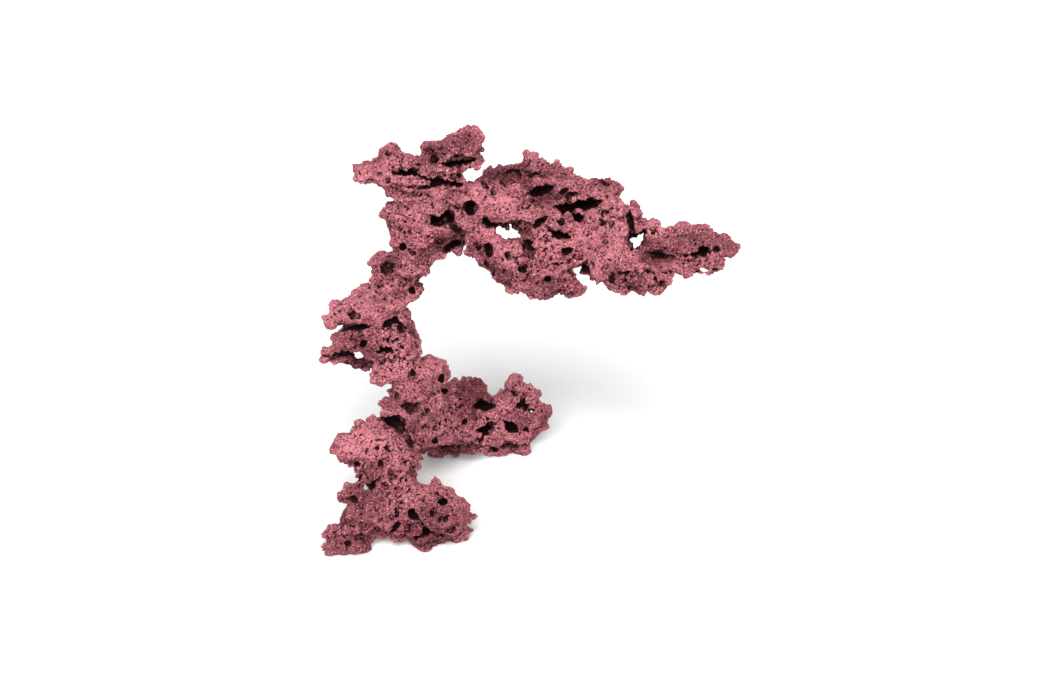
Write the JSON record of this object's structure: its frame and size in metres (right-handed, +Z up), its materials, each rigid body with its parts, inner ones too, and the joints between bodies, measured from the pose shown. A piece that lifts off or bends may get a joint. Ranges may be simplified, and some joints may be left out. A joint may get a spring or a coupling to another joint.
{
  "type": "dry reef rock",
  "caption": "Branching dry reef rock on a front and a rear foot, with a crown ledge and an overhanging canopy that leaves an open space beneath.",
  "frame": {"origin": "middle of the rock's bounding box, on the surface that its feet rest on", "axes": "+Z up, +X from the column towards the canopy's outer shelf, +Y from the front foot towards the rear foot"},
  "size_m": [0.4152, 0.2558, 0.3849],
  "materials": {
    "reef_stone": "dry and matt, sandy and finely pitted, rosy mauve with darker hollows"
  },
  "bodies": {
    "root": {"column": "reef_stone", "crown_ledge": "reef_stone", "canopy": "reef_stone", "canopy_lobe": "reef_stone", "outer_shelf": "reef_stone", "front_leg": "reef_stone", "rear_foot": "reef_stone"}
  },
  "joints": []
}
